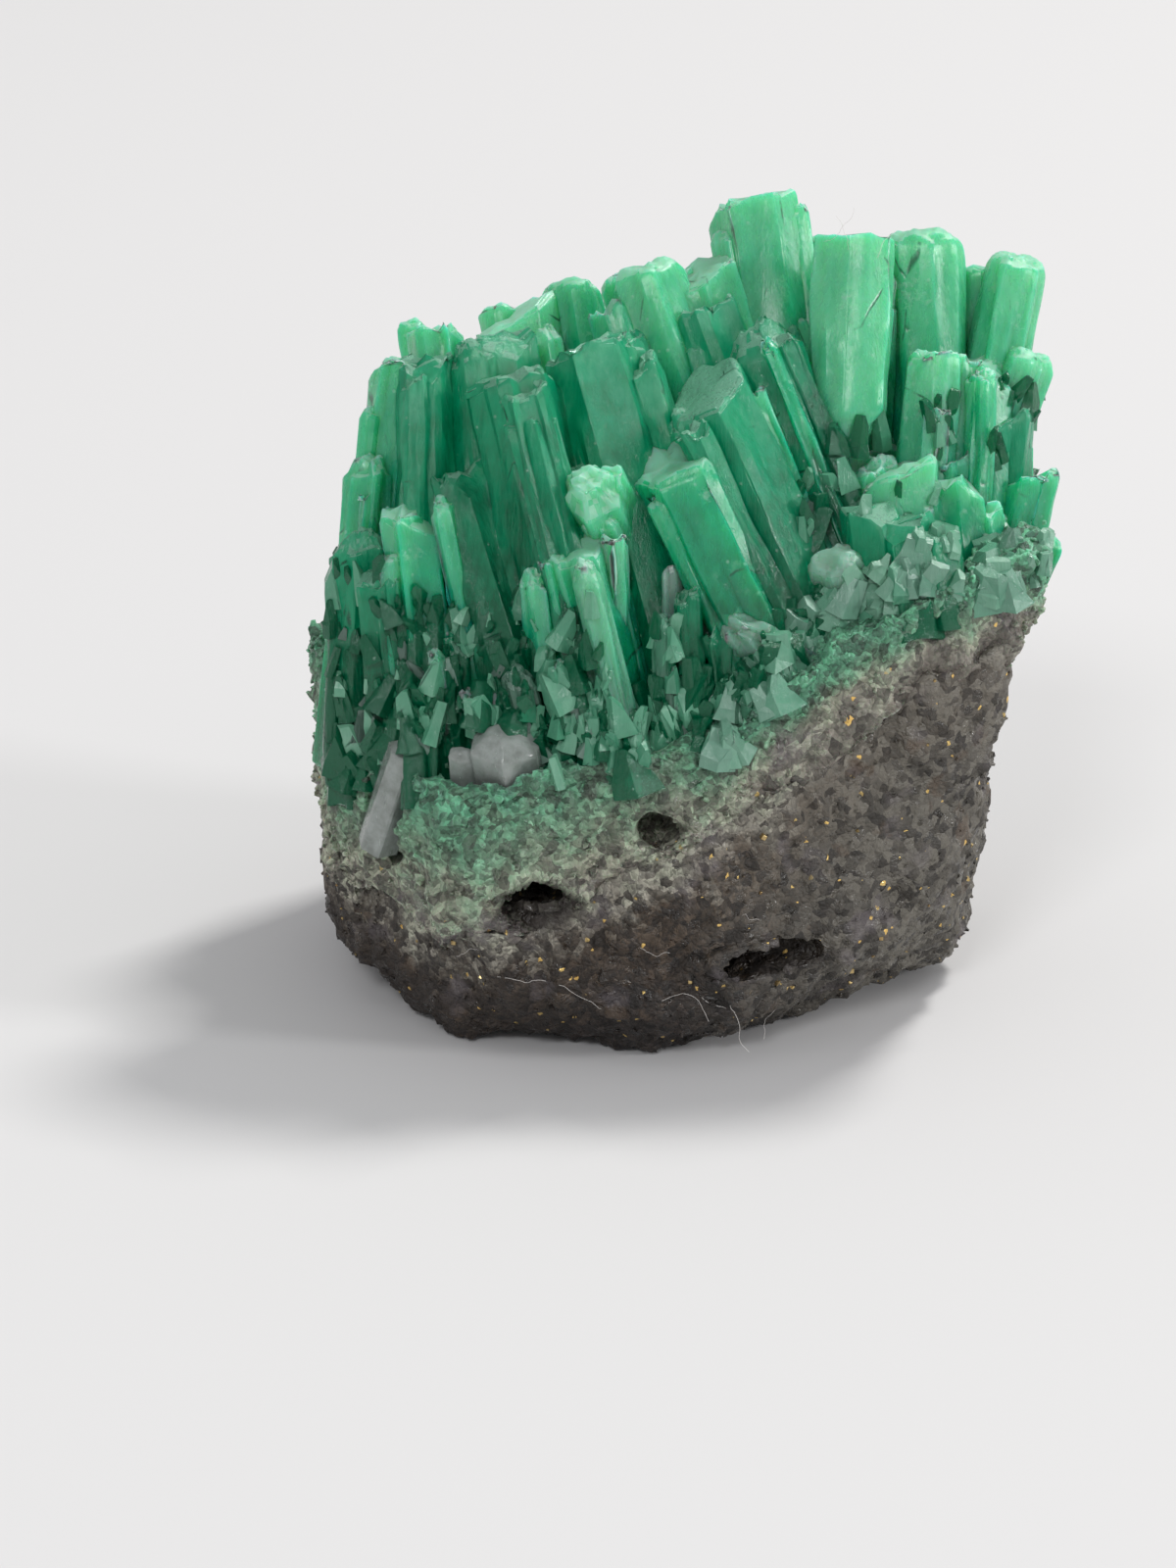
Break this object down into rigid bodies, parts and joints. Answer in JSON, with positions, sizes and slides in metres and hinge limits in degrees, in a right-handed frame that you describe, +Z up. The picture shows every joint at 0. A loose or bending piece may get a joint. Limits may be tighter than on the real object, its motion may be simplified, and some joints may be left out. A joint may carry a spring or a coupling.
{
  "type": "emerald in matrix",
  "caption": "Hand specimen of long six-sided emerald crystals fanning up from a pale sugary green crust on a dark rock that has a flat foot and rough broken sides.",
  "frame": {"origin": "under the middle of the specimen's bounding box, at the level of the flat foot", "axes": "+Z up, away from the foot; -Y to the front, where the long crystals lean down towards the viewer; +X to the right, where the crystals stand tallest"},
  "size_m": [0.036, 0.0316, 0.0373],
  "materials": {
    "rock": "rough broken mica schist",
    "crust": "sugary, slightly translucent",
    "emerald": "glassy to waxy, striated, with etched ends",
    "quartz": "glassy grey"
  },
  "bodies": {
    "root": {"matrix_rock": "rock", "beryl_crust": "crust", "emerald_cluster": "emerald", "quartz_left": "quartz", "quartz_middle": "quartz", "quartz_chip": "quartz"}
  },
  "joints": []
}
